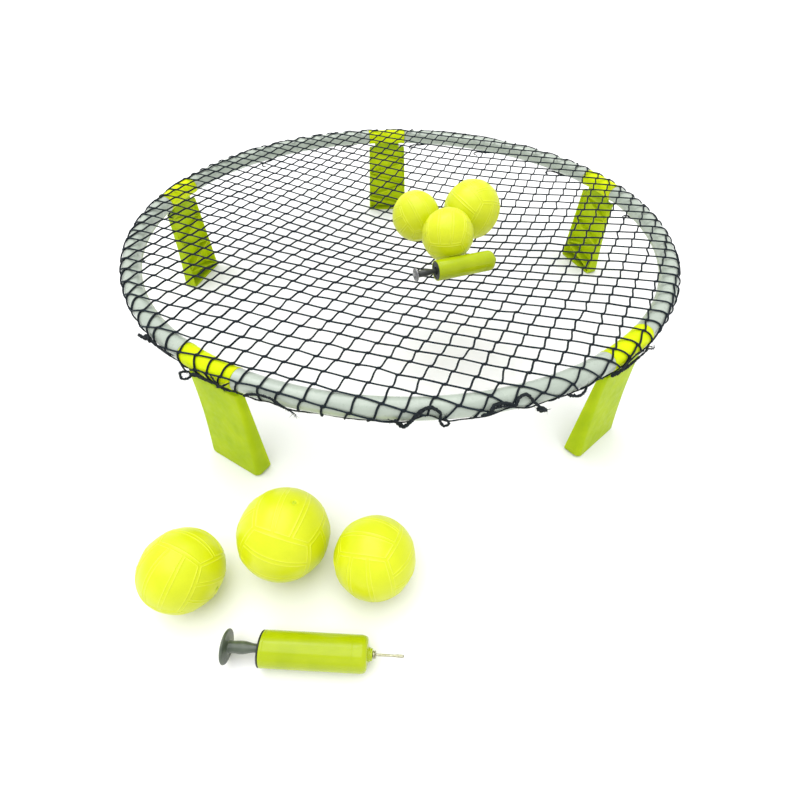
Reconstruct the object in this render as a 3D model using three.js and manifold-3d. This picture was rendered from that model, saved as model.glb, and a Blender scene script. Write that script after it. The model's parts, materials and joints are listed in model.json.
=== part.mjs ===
// Roundnet set: a round rim of five curved tubes on five moulded legs, a knotted net laced over
// the rim, six playing balls and two hand pumps. Millimetres, +Z up, everything stands on Z = 0.
import * as THREE from "three";
import { mergeVertices } from "three/addons/utils/BufferGeometryUtils.js";
import Module from "manifold-3d";

const wasm = await Module();
wasm.setup();

const DEG = Math.PI / 180;
const GAP = 0.3; // clearance between pieces that touch

// Rim: five curved tubes that push onto the spigots of five legs
const RIM_DIAMETER = 914; // over the tubes
const TUBE_RADIUS = 13.7;
const TUBE_WALL = 1.8;
const TUBE_SIDES = 12;
const RIM_RADIUS = RIM_DIAMETER / 2 - TUBE_RADIUS; // circle of the tube centres
const RIM_HEIGHT = 177.7; // tube centres above the ground
const RIM_STEPS = 40; // flats round the whole rim
const LEG_COUNT = 5;
const LEG_SPACING = 360 / LEG_COUNT;
const FIRST_LEG = 92.5; // degrees round from +X

// Leg: a collar in line with the tubes, a short neck, and a ribbed channel open to the inside
const COLLAR_RADIUS = 13.9;
const COLLAR_HALF_ANGLE = 5.6;
const SPIGOT_RADIUS = TUBE_RADIUS - TUBE_WALL - 0.4;
const SPIGOT_ANGLE = 3.4;
const TUBE_END_GAP = 0.05; // degrees between a collar and a tube end
const NECK_INNER = 439.5;
const NECK_OUTER = 447.5;
const NECK_HALF_WIDTH = 30;
const NECK_TOP = 172;
const CHANNEL_INNER = 439.5;
const CHANNEL_OUTER_TOP = 451;
const CHANNEL_FLARE = 15; // how far the outer face stands out at the ground
const CHANNEL_HEIGHT = 154;
const CHANNEL_WALL = 3;
const CHANNEL_TOP_WEB = 8;
const CHANNEL_HALF_TOP = 43;
const CHANNEL_HALF_FOOT = 48;
const FOOT_CORNER = 5;
const RIB_COUNT = 5;
const RIB_THICKNESS = 2;
const RIB_INSET = 2; // ribs stop short of the channel's open side

// Net: a bed of crossing strands inside the rim, and a border that wraps over the tubes
const BED_RADIUS = 425.3;
const BED_BOTTOM = 188;
const STRAND_HEIGHT = 2.4;
const STRAND_WIDTH = 3.6;
const STRAND_SPACING = 100;
const STRAND_DIRECTIONS = [-20, 55]; // degrees round from +X
const BED_HOOP_WIDTH = 5;
const BORDER_CLEARANCE = 0.8;
const BORDER_THICKNESS = 1.6;
const BORDER_LOWEST = -30; // degrees below the outside of the tube

// Lacing: the thick edge cord under the rim and the tied loops that tension it
const CORD_RADIUS = 2.3;
const CORD_OUTWARD = 9.9; // from the tube centre circle
const CORD_DROP = 13.8; // below the tube centres
const CORD_SIDES = 6;
const CORD_STEPS = 48;
const TIE_RADIUS = 3;
const TIE_OUTWARD = 14.4;
const TIE_DROP = 18.4;
const TIE_HOOK = 4.5;
const TIE_SIDES = 5;
const TIE_STEPS = 8;
const TIES = [
  { at: 5, length: 46 },
  { at: 36, length: 52 },
  { at: 61, length: 40 },
  { at: 82, length: 44 },
  { at: 104, length: 44 },
  { at: 130, length: 50 },
  { at: 168, length: 40 },
  { at: 188, length: 52 },
  { at: 223.5, length: 60 },
  { at: 237.5, length: 56 },
  { at: 248, length: 50 },
  { at: 270.5, length: 44 },
  { at: 282.5, length: 60 },
  { at: 293.5, length: 40 },
  { at: 308, length: 76 },
];

// Balls: hollow rubber shells with a valve plug; places are from the middle of the rim
const BALL_WALL = 2.6;
const BALL_STEPS = 12;
const VALVE_STEPS = 8;
const VALVE_HOLE = 3.2;
const VALVE_STEM = 2.8;
const VALVE_LENGTH = 9;
const VALVE_FLANGE = 5.5;
const NET_TOP = BED_BOTTOM + STRAND_HEIGHT + GAP;
const BALLS = [
  { x: 19.3, y: -85.2, radius: 37.5, stands: NET_TOP, valve: [-0.5, 0.5, 0.7] },
  { x: 107.8, y: -76.9, radius: 44, stands: NET_TOP, valve: [0.45, 0.05, 0.89] },
  { x: 62.5, y: -148.1, radius: 38.5, stands: NET_TOP, valve: [0.2, 0.6, -0.75] },
  { x: -266.7, y: -564, radius: 46.5, stands: 0, valve: [0.75, -0.35, -0.15] },
  { x: -156.1, y: -527.4, radius: 54, stands: 0, valve: [0.33, 0.25, 0.9] },
  { x: -49.5, y: -556.4, radius: 47.5, stands: 0, valve: [0.3, 0.8, -0.3] },
];

// Pumps: each lies along its own +X, from the handle to the nozzle
const PUMP_STEPS = 12;
const PUMP_WALL = 1.6;
const PISTON_LENGTH = 8;
const PISTON_GROOVE = 1.6;
const SEAL_WIDTH = 2.6;
const SEAL_DEPTH = 1.2;
const CAP_FLANGE = 2.2;
const CAP_PLUG = 6;
const NOZZLE_LENGTH = 5;
const NOZZLE_BORE = 2.5;
const NEEDLE_RADIUS = 1.25;
const NEEDLE_BORE = 0.6;
const NEEDLE_LENGTH = 30;
const HUB_LENGTH = 3.7;
const HUB_RADIUS = 4.1;
const THREAD_RADIUS = 2.1;
const PUMPS = [
  {
    name: "net_pump", x: 41.6, y: -205.4, heading: 18.3, stands: NET_TOP, length: 90, radius: 14.6,
    rodShown: 25, knobRadius: 9.6, knobLength: 6, looseKnob: true, needle: false,
  },
  {
    name: "ground_pump", x: -170.1, y: -640.4, heading: -4.7, stands: 0, length: 113, radius: 18.4,
    rodShown: 34, knobRadius: 17.6, knobLength: 4.4, looseKnob: false, needle: true,
  },
];

const plastic = (colour, roughness) =>
  new THREE.MeshStandardMaterial({ color: colour, roughness, metalness: 0 });
const LIME = plastic(0xb4d71f, 0.45);
const PALE_GREY = plastic(0xcbd8cc, 0.35);
const BLACK_CORD = plastic(0x141e26, 0.9);
const BALL_YELLOW = plastic(0xe1ee26, 0.4);
const BLACK_RUBBER = plastic(0x20241f, 0.8);
const PUMP_LIME = plastic(0xbfe01c, 0.3);
const BLACK_PLASTIC = plastic(0x2a2f2a, 0.5);
const GREY_PLASTIC = plastic(0x5f6e64, 0.45);
const SILVER_PLASTIC = plastic(0x9a9c9a, 0.4);
const STEEL = new THREE.MeshStandardMaterial({ color: 0xb9b6a6, roughness: 0.3, metalness: 1 });

// Polygon with its corners on a circle, closed on itself, in [radius, height] of the rim's section
function circleOutline(radius, height, size, sides) {
  return Array.from({ length: sides + 1 }, (_, i) => {
    const angle = ((i % sides) * 2 * Math.PI) / sides;
    return [radius + size * Math.cos(angle), height + size * Math.sin(angle)];
  });
}

// Closed body turned about Z; the outline starts and ends on the axis, or closes on itself
function turned(outline, steps, startAngle = 0) {
  const points = outline.map(([radius, height]) => new THREE.Vector2(radius, height));
  if (THREE.ShapeUtils.area(points) < 0) points.reverse();
  return new THREE.LatheGeometry(points, steps, startAngle).rotateX(Math.PI / 2);
}

// Ring about the rim's axis, with a flat centred on +X. The rim and the net share these flats:
// they are made with the first leg on +X and turned together to its place.
const rimTurned = (outline) =>
  turned(outline, RIM_STEPS, Math.PI / 2 + Math.PI / RIM_STEPS);

function prism(outline, depth) {
  const shape = new THREE.Shape(outline.map(([x, y]) => new THREE.Vector2(x, y)));
  return new THREE.ExtrudeGeometry(shape, { depth, bevelEnabled: false });
}

function solid(geometry) {
  const plain = geometry.clone();
  plain.deleteAttribute("normal");
  plain.deleteAttribute("uv");
  const merged = mergeVertices(plain, 1e-3);
  const mesh = new wasm.Mesh({
    numProp: 3,
    vertProperties: merged.attributes.position.array,
    triVerts: new Uint32Array(merged.index.array),
  });
  return new wasm.Manifold(mesh);
}

function geometryOf(body) {
  const mesh = body.getMesh();
  const geometry = new THREE.BufferGeometry();
  geometry.setAttribute("position", new THREE.BufferAttribute(mesh.vertProperties, mesh.numProp));
  geometry.setIndex(new THREE.BufferAttribute(mesh.triVerts, 1));
  geometry.computeVertexNormals();
  return geometry;
}

function piece(parent, name, geometry, material) {
  const mesh = new THREE.Mesh(geometry, material);
  mesh.name = name;
  parent.add(mesh);
  return mesh;
}

const rimTube = (radius) =>
  solid(rimTurned(circleOutline(RIM_RADIUS, RIM_HEIGHT, radius, TUBE_SIDES)));

// Upright wedge from the rim's axis outwards, centred on +X
function sector(halfAngle) {
  const reach = RIM_DIAMETER;
  const side = reach * Math.tan(halfAngle * DEG);
  return solid(prism([[0, 0], [reach, -side], [reach, side]], 2 * RIM_HEIGHT));
}

function tubeGeometry() {
  const halfAngle = LEG_SPACING / 2 - COLLAR_HALF_ANGLE - TUBE_END_GAP;
  const pipe = rimTube(TUBE_RADIUS).subtract(rimTube(TUBE_RADIUS - TUBE_WALL));
  return geometryOf(pipe.intersect(sector(halfAngle)));
}

// The channel's outer face: nearly upright under the rim, standing out towards the foot
function outerFace(height) {
  return CHANNEL_OUTER_TOP + CHANNEL_FLARE * (1 - height / CHANNEL_HEIGHT) ** 1.5;
}

// Outline in [radius, height], run across the leg
function acrossLeg(outline, halfWidth) {
  return solid(prism(outline, 2 * halfWidth).rotateX(Math.PI / 2).translate(0, halfWidth, 0));
}

// Outline in [sideways, height], run along the leg's radius
function throughLeg(outline, inner, outer) {
  const body = prism(outline, outer - inner).rotateX(Math.PI / 2).rotateZ(Math.PI / 2);
  return solid(body.translate(inner, 0, 0));
}

function channelSide(inner, wall, bottom, top) {
  const levels = 4;
  const outer = Array.from({ length: levels + 1 }, (_, i) => {
    const height = bottom + ((top - bottom) * i) / levels;
    return [outerFace(height) - wall, height];
  });
  return [[inner, bottom], ...outer, [inner, top]];
}

function channelFront(wall, bottom, top) {
  const halfAt = (height) =>
    CHANNEL_HALF_FOOT + ((CHANNEL_HALF_TOP - CHANNEL_HALF_FOOT) * height) / CHANNEL_HEIGHT - wall;
  const corner = FOOT_CORNER - wall;
  const rounded = [90, 60, 30, 0].map((angle) => [
    halfAt(bottom) - corner + corner * Math.cos(angle * DEG),
    bottom + corner - corner * Math.sin(angle * DEG),
  ]);
  const right = [...rounded, [halfAt(top), top]];
  return [...right, ...right.map(([x, z]) => [-x, z]).reverse()];
}

// Stiffening plates that zigzag up the channel from one side wall to the other
function channelRibs() {
  const low = 2 * CHANNEL_WALL;
  const rise = (CHANNEL_HEIGHT - CHANNEL_TOP_WEB - low) / RIB_COUNT;
  const half = RIB_THICKNESS / 2;
  const plates = Array.from({ length: RIB_COUNT }, (_, i) => {
    const from = (i % 2 ? 1 : -1) * (CHANNEL_HALF_TOP - CHANNEL_WALL / 2);
    const foot = low + i * rise;
    const outline = [
      [from, foot - half],
      [-from, foot + rise - half],
      [-from, foot + rise + half],
      [from, foot + half],
    ];
    return throughLeg(outline, CHANNEL_INNER + RIB_INSET, RIM_DIAMETER / 2 + CHANNEL_FLARE);
  });
  return wasm.Manifold.union(plates);
}

function legGeometry() {
  const deep = CHANNEL_INNER - 2 * CHANNEL_WALL;
  const far = RIM_DIAMETER / 2 + CHANNEL_FLARE;
  const pocketTop = CHANNEL_HEIGHT - CHANNEL_TOP_WEB;
  const block = acrossLeg(channelSide(CHANNEL_INNER, 0, 0, CHANNEL_HEIGHT), CHANNEL_HALF_FOOT).intersect(
    throughLeg(channelFront(0, 0, CHANNEL_HEIGHT), deep, far),
  );
  const pocket = acrossLeg(
    channelSide(deep, CHANNEL_WALL, CHANNEL_WALL, pocketTop),
    CHANNEL_HALF_FOOT,
  ).intersect(throughLeg(channelFront(CHANNEL_WALL, CHANNEL_WALL, pocketTop), deep, far));
  const neck = acrossLeg(
    [
      [NECK_INNER, CHANNEL_HEIGHT - CHANNEL_WALL],
      [NECK_OUTER, CHANNEL_HEIGHT - CHANNEL_WALL],
      [NECK_OUTER, NECK_TOP],
      [NECK_INNER, NECK_TOP],
    ],
    NECK_HALF_WIDTH,
  );
  const collar = rimTube(COLLAR_RADIUS).intersect(sector(COLLAR_HALF_ANGLE));
  const spigots = rimTube(SPIGOT_RADIUS).intersect(sector(COLLAR_HALF_ANGLE + SPIGOT_ANGLE));
  return geometryOf(
    block.subtract(pocket).add(channelRibs().intersect(block)).add(neck).add(collar).add(spigots),
  );
}

function addRim(parent) {
  const tube = tubeGeometry();
  const leg = legGeometry();
  for (let i = 0; i < LEG_COUNT; i++) {
    const angle = i * LEG_SPACING * DEG;
    piece(parent, `leg_${i + 1}`, leg, LIME).rotation.z = angle;
    piece(parent, `rim_tube_${i + 1}`, tube, PALE_GREY).rotation.z = angle + (LEG_SPACING / 2) * DEG;
  }
}

function bedGeometry() {
  const bars = STRAND_DIRECTIONS.flatMap((direction) => {
    const count = Math.floor(BED_RADIUS / STRAND_SPACING);
    return Array.from({ length: 2 * count + 1 }, (_, i) =>
      solid(
        new THREE.BoxGeometry(2 * BED_RADIUS, STRAND_WIDTH, STRAND_HEIGHT)
          .translate(0, (i - count) * STRAND_SPACING, BED_BOTTOM + STRAND_HEIGHT / 2)
          .rotateZ((direction - FIRST_LEG) * DEG),
      ),
    );
  });
  const top = BED_BOTTOM + STRAND_HEIGHT;
  const inner = BED_RADIUS - BED_HOOP_WIDTH;
  const disc = solid(
    rimTurned([[0, BED_BOTTOM], [BED_RADIUS, BED_BOTTOM], [BED_RADIUS, top], [0, top]]),
  );
  const hoop = solid(
    rimTurned([
      [inner, BED_BOTTOM],
      [BED_RADIUS, BED_BOTTOM],
      [BED_RADIUS, top],
      [inner, top],
      [inner, BED_BOTTOM],
    ]),
  );
  return geometryOf(wasm.Manifold.union(bars).intersect(disc).add(hoop));
}

// The net's edge: from the bed over the top of the tube and down its outside, in one skin
function borderGeometry() {
  const angles = [90, 60, 30, 0, BORDER_LOWEST];
  const arc = (size) =>
    angles.map((angle) => [
      RIM_RADIUS + size * Math.cos(angle * DEG),
      RIM_HEIGHT + size * Math.sin(angle * DEG),
    ]);
  const inner = TUBE_RADIUS + BORDER_CLEARANCE;
  const start = BED_RADIUS + 2 * GAP;
  const outline = [
    [start, BED_BOTTOM],
    [start, BED_BOTTOM + STRAND_HEIGHT],
    ...arc(inner + BORDER_THICKNESS),
    ...arc(inner).reverse(),
    [start, BED_BOTTOM],
  ];
  return rimTurned(outline);
}

function cordGeometry() {
  const outline = circleOutline(
    RIM_RADIUS + CORD_OUTWARD,
    RIM_HEIGHT - CORD_DROP,
    CORD_RADIUS,
    CORD_SIDES,
  );
  return turned(outline, CORD_STEPS);
}

// A tied end of lacing: it lies along the edge cord, then turns down and back in a hook
function tieGeometry(tie) {
  const half = tie.length / 2;
  const along = [-half, -half / 2, 0, half / 2, half - TIE_HOOK];
  const points = [
    ...along.map((distance) => [distance, 0]),
    [half, TIE_HOOK / 2],
    [half, 1.6 * TIE_HOOK],
    [half - TIE_HOOK, 2.2 * TIE_HOOK],
    [half - 2 * TIE_HOOK, 1.9 * TIE_HOOK],
  ].map(([distance, drop]) => {
    const radius = RIM_RADIUS + TIE_OUTWARD;
    const angle = tie.at * DEG + distance / radius;
    const height = RIM_HEIGHT - TIE_DROP - drop;
    return new THREE.Vector3(radius * Math.cos(angle), radius * Math.sin(angle), height);
  });
  const section = circleOutline(0, 0, TIE_RADIUS, TIE_SIDES)
    .slice(0, TIE_SIDES)
    .map(([x, y]) => new THREE.Vector2(x, y));
  return new THREE.ExtrudeGeometry(new THREE.Shape(section), {
    steps: TIE_STEPS,
    extrudePath: new THREE.CatmullRomCurve3(points),
    bevelEnabled: false,
  });
}

function addNet(parent) {
  piece(parent, "net_bed", bedGeometry(), BLACK_CORD);
  piece(parent, "net_border", borderGeometry(), BLACK_CORD);
}

function addLacing(parent) {
  piece(parent, "edge_cord", cordGeometry(), BLACK_CORD);
  TIES.forEach((tie, i) => piece(parent, `net_tie_${i + 1}`, tieGeometry(tie), BLACK_CORD));
}

// Arc of a ball's section from the bottom pole up to the valve hole
function ballArc(radius) {
  const levels = 6;
  const last = Math.PI - Math.asin(VALVE_HOLE / radius);
  return Array.from({ length: levels + 1 }, (_, i) => {
    const angle = (last * i) / levels;
    return [i ? radius * Math.sin(angle) : 0, -radius * Math.cos(angle)];
  });
}

function addBall(parent, ball, number) {
  const group = new THREE.Group();
  const inside = ball.radius - BALL_WALL;
  const shell = turned([...ballArc(ball.radius), ...ballArc(inside).reverse()], BALL_STEPS);
  const top = ball.radius - 2 * GAP;
  const flangeTop = inside - 5 * GAP;
  const plug = turned(
    [
      [0, top - VALVE_LENGTH],
      [VALVE_STEM, top - VALVE_LENGTH],
      [VALVE_STEM, flangeTop - 5 * GAP],
      [VALVE_FLANGE, flangeTop - 5 * GAP],
      [VALVE_FLANGE, flangeTop],
      [VALVE_STEM, flangeTop],
      [VALVE_STEM, top],
      [0, top],
    ],
    VALVE_STEPS,
  );
  piece(group, `ball_${number}`, shell, BALL_YELLOW);
  piece(group, `ball_valve_${number}`, plug, BALL_YELLOW);
  group.position.set(ball.x, ball.y, ball.stands + ball.radius);
  const valveWay = new THREE.Vector3(...ball.valve).normalize();
  group.quaternion.setFromUnitVectors(new THREE.Vector3(0, 0, 1), valveWay);
  parent.add(group);
}

// A pump piece is turned about its own +X, with a flat underneath
const pumpTurned = (outline) =>
  turned(outline.map(([along, radius]) => [radius, along]), PUMP_STEPS, Math.PI / PUMP_STEPS)
    .rotateY(Math.PI / 2);

function barrelOutline(pump) {
  const { length, radius } = pump;
  const bore = radius - PUMP_WALL;
  const boss = 0.38 * radius;
  return [
    [0, radius],
    [length - 6, radius],
    [length - 1.5, radius - 1.8],
    [length, radius - 5],
    [length, boss],
    [length + NOZZLE_LENGTH, boss],
    [length + NOZZLE_LENGTH, NOZZLE_BORE],
    [length - 4, NOZZLE_BORE],
    [length - 4, bore - 3],
    [length - 7, bore],
    [0, bore],
    [0, radius],
  ];
}

function capOutline(pump) {
  const plug = pump.radius - PUMP_WALL - GAP - 0.1;
  const hole = 0.36 * pump.radius;
  return [
    [-CAP_FLANGE, hole],
    [-CAP_FLANGE, pump.radius - 0.5],
    [-GAP, pump.radius],
    [-GAP, plug],
    [CAP_PLUG, plug],
    [CAP_PLUG, hole],
    [-CAP_FLANGE, hole],
  ];
}

// Rod from the handle into the piston, thicker where the hand pulls
function rodOutline(pump, rodStart, pistonRear) {
  const thick = 0.33 * pump.radius;
  const thin = 0.235 * pump.radius;
  const grip = pump.rodShown * 0.6;
  const outer = pump.looseKnob
    ? [[rodStart, 0], [rodStart, thick]]
    : [
        [rodStart - pump.knobLength, 0],
        [rodStart - pump.knobLength, pump.knobRadius - 1],
        [rodStart - pump.knobLength / 2, pump.knobRadius],
        [rodStart, pump.knobRadius - 2],
        [rodStart, thick],
      ];
  return [
    ...outer,
    [rodStart + grip, thick],
    [rodStart + grip + 7, thin],
    [pistonRear + PISTON_LENGTH / 2, thin],
    [pistonRear + PISTON_LENGTH / 2, 0],
  ];
}

// Piston with a blind socket for the rod behind and a groove for its seal
function pistonOutline(pump, rear) {
  const radius = pump.radius - PUMP_WALL - 2 * GAP;
  const socket = 0.235 * pump.radius + 0.4;
  const front = rear + PISTON_LENGTH;
  const middle = rear + PISTON_LENGTH / 2;
  const groove = radius - PISTON_GROOVE;
  return [
    [middle + GAP, 0],
    [middle + GAP, socket],
    [rear, socket],
    [rear, radius],
    [middle - SEAL_WIDTH / 2 - GAP, radius],
    [middle - SEAL_WIDTH / 2 - GAP, groove],
    [middle + SEAL_WIDTH / 2 + GAP, groove],
    [middle + SEAL_WIDTH / 2 + GAP, radius],
    [front, radius],
    [front, 0],
  ];
}

function sealOutline(pump, rear) {
  const outer = pump.radius - PUMP_WALL - GAP - 0.05;
  const middle = rear + PISTON_LENGTH / 2;
  const low = middle - SEAL_WIDTH / 2;
  const high = middle + SEAL_WIDTH / 2;
  return [
    [low, outer - SEAL_DEPTH],
    [low, outer - 0.3],
    [middle, outer],
    [high, outer - 0.3],
    [high, outer - SEAL_DEPTH],
    [low, outer - SEAL_DEPTH],
  ];
}

// Small rubber sleeve in the nozzle that lets air out only
function flapOutline(pump) {
  const rear = pump.length - 3.6;
  return [
    [rear, NEEDLE_BORE],
    [rear, NOZZLE_BORE - 0.4],
    [rear + 3, NOZZLE_BORE - 0.4],
    [rear + 3, NEEDLE_BORE],
    [rear, NEEDLE_BORE],
  ];
}

function knobOutline(pump, rodStart) {
  const outer = rodStart - GAP;
  return [
    [outer - pump.knobLength, 0],
    [outer - pump.knobLength, pump.knobRadius - 2],
    [outer - 0.7 * pump.knobLength, pump.knobRadius],
    [outer - 0.3 * pump.knobLength, pump.knobRadius],
    [outer, pump.knobRadius - 2],
    [outer, 0],
  ];
}

function hubOutline(pump) {
  const face = pump.length + NOZZLE_LENGTH + GAP;
  const socket = NEEDLE_RADIUS + 0.4;
  return [
    [face - NOZZLE_LENGTH, NEEDLE_BORE],
    [face - NOZZLE_LENGTH, THREAD_RADIUS],
    [face, THREAD_RADIUS],
    [face, HUB_RADIUS],
    [face + 0.6 * HUB_LENGTH, HUB_RADIUS],
    [face + HUB_LENGTH, 0.7 * HUB_RADIUS],
    [face + HUB_LENGTH, socket],
    [face + 0.2 * HUB_LENGTH, socket],
    [face + 0.2 * HUB_LENGTH, NEEDLE_BORE],
    [face - NOZZLE_LENGTH, NEEDLE_BORE],
  ];
}

function needleOutline(pump) {
  const start = pump.length + NOZZLE_LENGTH + 0.2 * HUB_LENGTH + 2 * GAP;
  const tip = pump.length + NOZZLE_LENGTH + HUB_LENGTH + NEEDLE_LENGTH;
  return [
    [start, NEEDLE_BORE],
    [start, NEEDLE_RADIUS],
    [tip - 2, NEEDLE_RADIUS],
    [tip, NEEDLE_RADIUS - 0.4],
    [tip, NEEDLE_BORE],
    [start, NEEDLE_BORE],
  ];
}

function addPump(parent, pump) {
  const group = new THREE.Group();
  const add = (part, outline, material) =>
    piece(group, `${pump.name}_${part}`, pumpTurned(outline), material);
  const rodStart = -CAP_FLANGE - pump.rodShown;
  const pistonRear = pump.length - 8 - pump.rodShown - PISTON_LENGTH;
  const rodMaterial = pump.looseKnob ? BLACK_PLASTIC : GREY_PLASTIC;
  add("barrel", barrelOutline(pump), PUMP_LIME);
  add("end_cap", capOutline(pump), BLACK_PLASTIC);
  add("plunger", rodOutline(pump, rodStart, pistonRear), rodMaterial);
  add("piston", pistonOutline(pump, pistonRear), BLACK_PLASTIC);
  add("piston_seal", sealOutline(pump, pistonRear), BLACK_RUBBER);
  add("check_flap", flapOutline(pump), BLACK_RUBBER);
  if (pump.looseKnob) add("knob", knobOutline(pump, rodStart), SILVER_PLASTIC);
  if (pump.needle) {
    add("needle_hub", hubOutline(pump), STEEL);
    add("needle", needleOutline(pump), STEEL);
  }
  group.rotation.z = pump.heading * DEG;
  const flatHeight = pump.radius * Math.cos(Math.PI / PUMP_STEPS);
  group.position.set(pump.x, pump.y, pump.stands + flatHeight);
  parent.add(group);
}

const roundnetSet = new THREE.Group();
const pieces = new THREE.Group();
roundnetSet.add(pieces);
const rim = new THREE.Group();
rim.rotation.z = FIRST_LEG * DEG;
pieces.add(rim);
addRim(rim);
addNet(rim);
addLacing(pieces);
BALLS.forEach((ball, i) => addBall(pieces, ball, i + 1));
PUMPS.forEach((pump) => addPump(pieces, pump));

// The origin is the middle of the whole set's footprint, on the ground
const extent = new THREE.Box3().setFromObject(pieces, true);
const middle = extent.getCenter(new THREE.Vector3());
pieces.position.set(-middle.x, -middle.y, -extent.min.z);

export default roundnetSet;
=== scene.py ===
"""Roundnet set: rim, legs, knotted net, lacing, six balls and two hand pumps, built on the CAD frame.

Lengths are millimetres unless a name says otherwise; meshes are made in metres.
"""
import json
import math

import bmesh
import bpy
import numpy as np
from mathutils import Matrix, Vector


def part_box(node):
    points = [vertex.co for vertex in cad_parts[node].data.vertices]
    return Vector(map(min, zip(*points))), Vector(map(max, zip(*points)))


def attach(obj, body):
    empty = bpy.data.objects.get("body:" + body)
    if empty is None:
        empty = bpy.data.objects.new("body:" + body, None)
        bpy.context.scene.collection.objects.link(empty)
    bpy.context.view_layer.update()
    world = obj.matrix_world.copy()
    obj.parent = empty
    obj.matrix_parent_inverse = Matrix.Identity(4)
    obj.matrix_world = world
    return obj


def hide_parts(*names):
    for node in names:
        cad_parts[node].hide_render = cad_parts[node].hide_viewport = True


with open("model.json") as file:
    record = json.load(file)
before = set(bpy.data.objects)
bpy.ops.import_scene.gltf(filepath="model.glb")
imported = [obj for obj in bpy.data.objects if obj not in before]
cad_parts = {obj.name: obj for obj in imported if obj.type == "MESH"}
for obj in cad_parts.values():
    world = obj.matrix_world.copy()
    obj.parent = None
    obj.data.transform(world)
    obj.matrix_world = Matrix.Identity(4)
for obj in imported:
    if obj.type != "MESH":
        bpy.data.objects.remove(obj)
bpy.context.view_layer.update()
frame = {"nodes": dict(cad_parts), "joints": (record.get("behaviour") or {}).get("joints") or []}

MM = 0.001
DEG = math.pi / 180
TURN = 2 * math.pi
rng = np.random.default_rng(11)


def node_box(node):
    low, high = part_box(node)
    return np.array(low) / MM, np.array(high) / MM


# Rim: one circle of tube centres that everything on the rim is laid out from
RIM_DIAMETER = 914
rim_low, rim_high = node_box("net_border")
RIM_MIDDLE = (rim_low + rim_high) / 2
tube_low, tube_high = node_box("rim_tube_1")
TUBE_RADIUS = (tube_high[2] - tube_low[2]) / 2
RIM_HEIGHT = (tube_high[2] + tube_low[2]) / 2
RIM_RADIUS = RIM_DIAMETER / 2 - TUBE_RADIUS
TUBE_WALL = 1.8
LEG_COUNT = 5
LEG_SPACING = 360 / LEG_COUNT
FIRST_LEG = 92.5
COLLAR_HALF_ANGLE = 5.6

scene = bpy.context.scene


# Mesh helpers

def placed(name, data):
    made = bpy.data.objects.new(name, data)
    scene.collection.objects.link(made)
    return made


class Shells:
    """Closed surfaces gathered into one mesh; points are in millimetres."""

    def __init__(self):
        self.points = []
        self.faces = []
        self.count = 0

    def add(self, points, faces):
        base = self.count
        self.points.append(np.asarray(points, float))
        self.faces.extend([base + k for k in face] for face in faces)
        self.count += len(points)

    def rings(self, rings, closed=False):
        """Joins each ring of points to the next, and caps the two ends unless the rings close."""
        n, sides, _ = rings.shape
        faces = []
        for i in range(n if closed else n - 1):
            here, there = i * sides, ((i + 1) % n) * sides
            for k in range(sides):
                after = (k + 1) % sides
                faces.append((here + k, here + after, there + after, there + k))
        if not closed:
            faces.append(tuple(range(sides))[::-1])
            faces.append(tuple(range((n - 1) * sides, n * sides)))
        self.add(rings.reshape(-1, 3), faces)

    def object(self, name, material, sharp=35):
        mesh = bpy.data.meshes.new(name)
        points = np.concatenate(self.points) * MM
        mesh.from_pydata(points.tolist(), [], self.faces)
        mesh.polygons.foreach_set("use_smooth", [True] * len(mesh.polygons))
        mesh.set_sharp_from_angle(angle=sharp * DEG)
        mesh.materials.append(material)
        return placed(name, mesh)


def ring_shells(rings, closed=False):
    shells = Shells()
    shells.rings(np.array(rings, float), closed)
    return shells


def cad_points(node):
    return np.array([v.co for v in frame["nodes"][node].data.vertices]) / MM


def unit(vectors):
    vectors = np.asarray(vectors, float)
    return vectors / np.linalg.norm(vectors, axis=-1, keepdims=True)


def smooth_path(points, step):
    """Catmull-Rom curve through the points, at about the given spacing."""
    points = np.asarray(points, float)
    ends = np.vstack([2 * points[0] - points[1], points, 2 * points[-1] - points[-2]])
    path = []
    for a, b, c, d in zip(ends, ends[1:], ends[2:], ends[3:]):
        count = max(2, int(round(np.linalg.norm(c - b) / step)))
        t = (np.arange(count) / count)[:, None]
        path.append(
            0.5 * (2 * b + (c - a) * t + (2 * a - 5 * b + 4 * c - d) * t ** 2
                   + (3 * b - a - 3 * c + d) * t ** 3)
        )
    return np.vstack(path + [points[-1:]])


def tube_rings(path, radius, sides, hint, profile=None):
    """Rings round a path; hint is a direction, or one for each point, that the sections keep up."""
    tangent = unit(np.gradient(path, axis=0))
    side = unit(np.cross(tangent, np.broadcast_to(hint, path.shape)))
    up = np.cross(side, tangent)
    angle = np.arange(sides) * TURN / sides
    size = np.broadcast_to(radius, (len(path),))[:, None]
    size = size * (1 if profile is None else profile(angle))
    across = size * np.cos(angle)
    high = size * np.sin(angle)
    return path[:, None] + across[..., None] * side[:, None] - high[..., None] * up[:, None]


def rope_rings(path, radius, hint, plies=3, sides=12, pitch=7):
    """A laid rope: the section has one lobe for each ply, and turns along the path."""
    steps = np.linalg.norm(np.diff(path, axis=0), axis=1)
    along = np.concatenate([[0], np.cumsum(steps)])[:, None]
    size = np.broadcast_to(radius, (len(path),))
    turn = TURN * along / (pitch * size.mean())
    return tube_rings(
        path, size, sides, hint,
        lambda angle: 0.84 + 0.16 * np.cos(plies * (angle[None] - turn)),
    )


def lathe(outline, steps=64):
    """Rings for an outline of (along, radius) points turned about +X; it ends on the axis or closes."""
    angle = np.arange(steps) * TURN / steps
    rings = [
        np.stack([np.full(steps, x), r * np.cos(angle), r * np.sin(angle)], axis=1)
        for x, r in outline
    ]
    return np.array(rings)


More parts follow.
